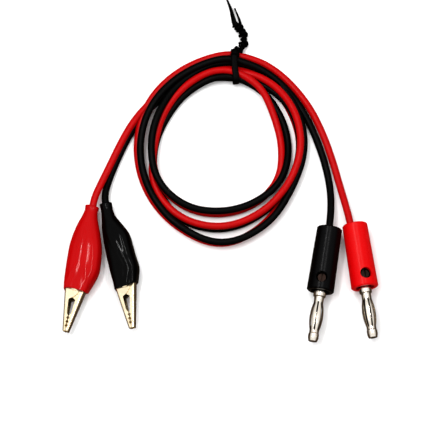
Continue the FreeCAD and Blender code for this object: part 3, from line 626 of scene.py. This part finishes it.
def finish(name, colour, shade, metallic, roughness, spread, grain_mm, bump, ior=None, gloss=0.5,
           stretch=(1, 1, 1)):
    """A finish with slow colour change from colour to shade, a roughness that varies, and a fine relief.

    The colour changes over eight grains' length, and the roughness and relief over one grain's."""
    made = bpy.data.materials.new(name)
    made.use_nodes = True
    tree = made.node_tree
    shader = tree.nodes["Principled BSDF"]
    place = add(tree, "ShaderNodeTexCoord")
    scaled = add(tree, "ShaderNodeMapping", {"Vector": place.outputs["Object"], "Scale": stretch})
    slow = add(tree, "ShaderNodeTexNoise", {"Vector": scaled.outputs["Vector"],
                                            "Scale": 1 / (grain_mm * SLOW_GRAINS * MM), "Detail": 3.0})
    fine = add(tree, "ShaderNodeTexNoise", {"Vector": scaled.outputs["Vector"],
                                            "Scale": 1 / (grain_mm * MM), "Detail": 4.0})
    mix = add(tree, "ShaderNodeMix", {"Factor": slow.outputs["Fac"], MIX_FIRST: linear(colour),
                                      MIX_SECOND: linear(shade)}, data_type="RGBA")
    rough = add(tree, "ShaderNodeMapRange", {
        "Value": fine.outputs["Fac"], "From Min": 0.3, "From Max": 0.7,
        "To Min": roughness - spread, "To Max": roughness + spread})
    relief = add(tree, "ShaderNodeBump", {"Height": fine.outputs["Fac"], "Strength": bump,
                                          "Distance": RELIEF_DEPTH})
    tree.links.new(mix.outputs[MIX_RESULT], shader.inputs["Base Color"])
    tree.links.new(rough.outputs["Result"], shader.inputs["Roughness"])
    tree.links.new(relief.outputs["Normal"], shader.inputs["Normal"])
    shader.inputs["Metallic"].default_value = metallic
    shader.inputs["Specular IOR Level"].default_value = gloss
    if ior:
        shader.inputs["IOR"].default_value = ior
    return made


def paint_shade_between(material, tip_way, start, end, dark):
    """A band of painted shade across a plated part, where the height along its own axis lies between two
    planes: a dark colour where the part would lie in shade.

    The height is the dot product of the place with the axis, in metres from the frame's origin."""
    tree = material.node_tree
    shader = tree.nodes["Principled BSDF"]
    plated = shader.inputs["Base Color"].links[0].from_socket
    place = add(tree, "ShaderNodeTexCoord")
    height = add(tree, "ShaderNodeVectorMath", {0: place.outputs["Object"], 1: tip_way},
                 operation="DOT_PRODUCT")
    after = add(tree, "ShaderNodeMath", {0: height.outputs["Value"], 1: start}, operation="GREATER_THAN")
    before = add(tree, "ShaderNodeMath", {0: height.outputs["Value"], 1: end}, operation="LESS_THAN")
    inside = add(tree, "ShaderNodeMath", {0: after.outputs[0], 1: before.outputs[0]}, operation="MULTIPLY")
    shaded = add(tree, "ShaderNodeMix", {"Factor": inside.outputs[0], MIX_FIRST: plated,
                                         MIX_SECOND: linear(dark)}, data_type="RGBA")
    tree.links.new(shaded.outputs[MIX_RESULT], shader.inputs["Base Color"])


def wear(piece, material):
    """The piece shows one finish all over."""
    piece.data.materials.clear()
    piece.data.materials.append(material)


# %% Vinyl, moulded and plated finishes
BRIGHT_NICKEL = {"colour": "#F2EBE1", "shade": "#DAD0C2", "metallic": 1.0, "roughness": 0.14,
                 "spread": 0.04, "grain_mm": 1.2, "bump": 0.02}
finishes = {
    # extruded plasticised PVC: smooth, softly glossy, a faint draw texture
    "red_cord": finish("extruded_red_vinyl", "#B00509", "#9C0306", metallic=0.0, roughness=0.3,
                       spread=0.05, grain_mm=0.6, bump=0.08, ior=1.3, gloss=0.25),
    "black_cord": finish("extruded_black_vinyl", "#010101", "#030303", metallic=0.0, roughness=0.34,
                         spread=0.05, grain_mm=0.6, bump=0.12, ior=1.3, gloss=0.16),
    # dipped vinyl: wet gloss over a slightly uneven skin
    "red_boot": finish("dipped_red_vinyl", "#AC0408", "#9C0306", metallic=0.0, roughness=0.12,
                       spread=0.02, grain_mm=1.6, bump=0.04, ior=1.3, gloss=0.3),
    "black_boot": finish("dipped_black_vinyl", "#000000", "#010101", metallic=0.0, roughness=0.12,
                         spread=0.02, grain_mm=1.6, bump=0.04, ior=1.3, gloss=0.25),
    # injection-moulded nylon housing: even, hard gloss
    "red_housing": finish("moulded_red_nylon", "#C80509", "#BE0408", metallic=0.0, roughness=0.26,
                          spread=0.04, grain_mm=0.35, bump=0.04, ior=1.3, gloss=0.25),
    "black_housing": finish("moulded_black_nylon", "#010101", "#020203", metallic=0.0, roughness=0.26,
                            spread=0.04, grain_mm=0.35, bump=0.04, ior=1.3, gloss=0.25),
    # bright nickel on turned brass, and on pressed steel with a warmer, duller tone
    "nickel": finish("bright_nickel_plate", **BRIGHT_NICKEL),
    "warm_nickel": finish("warm_nickel_on_pressed_steel", "#F3E9D2", "#DCC596", metallic=1.0,
                          roughness=0.24, spread=0.05, grain_mm=1.5, bump=0.02),
    "spring_steel": finish("drawn_spring_steel", "#A9A8A5", "#85837F", metallic=1.0, roughness=0.3,
                           spread=0.06, grain_mm=0.3, bump=0.1),
    "steel": finish("darkened_turned_steel", "#3A2E29", "#1E1613", metallic=1.0, roughness=0.45,
                    spread=0.08, grain_mm=0.3, bump=0.1),
    "copper": finish("bare_copper_strand", "#C77F4E", "#9C5A33", metallic=1.0, roughness=0.32,
                     spread=0.08, grain_mm=0.2, bump=0.3, stretch=(1, 4, 1)),
    # matt PVC skin of the tie
    "tie": finish("tie_black_plastic", "#000000", "#020202", metallic=0.0, roughness=0.42, spread=0.08,
                  grain_mm=0.5, bump=0.2, ior=1.3, gloss=0.12),
}
FINISH_OF = {
    "plug_housing": "{}_housing", "plug_spring_cage": "nickel", "plug_clamp_screw": "steel",
    "plug_strands": "copper", "clip_fixed_jaw": "warm_nickel", "clip_moving_jaw": "warm_nickel",
    "clip_pivot_pin": "warm_nickel", "clip_strands": "copper",
}
PLUG_PLACES = {"red": ((53.3, -48.5, 5.1), -81.4), "black": ((36.6, -49.9, 5.1), -98.6)}
# painted shade on the contact, measured forward from the housing's front: the core behind the lantern's
# leaves, and the barrel in the housing, where the real core lies in shade
PAINTED_SHADE_STRETCHES = [(2.4, 16.1), (-15.0, 0.1)]
PAINTED_PLUG_SHADE = "#16120E"
for colour in ("red", "black"):
    for part, name in FINISH_OF.items():
        wear(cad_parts[f"{colour}_{part}"], finishes[name.format(colour)])
    middle, yaw = PLUG_PLACES[colour]
    way = np.array([math.cos(math.radians(yaw)), math.sin(math.radians(yaw)), 0.0])
    front = float(np.dot(middle, way)) * MM
    # the contact's bright nickel gets dark bands of painted shade in place of the shade inside the plug
    core = finish(f"{colour}_plug_nickel_painted_shade", **BRIGHT_NICKEL)
    for start, end in PAINTED_SHADE_STRETCHES:
        paint_shade_between(core, way, front + start * MM, front + end * MM, PAINTED_PLUG_SHADE)
    wear(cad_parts[f"{colour}_plug_contact"], core)
    wear(wires[colour], finishes[f"{colour}_cord"])
    wear(boots[colour], finishes[f"{colour}_boot"])
for piece in tie:
    wear(piece, finishes["tie"])
for piece in springs:
    wear(piece, finishes["spring_steel"])
print("finishes:", len(finishes))

# %% [markdown]
# ## Finish
# The view layer is brought up to date.

# %% Finish
bpy.context.view_layer.update()
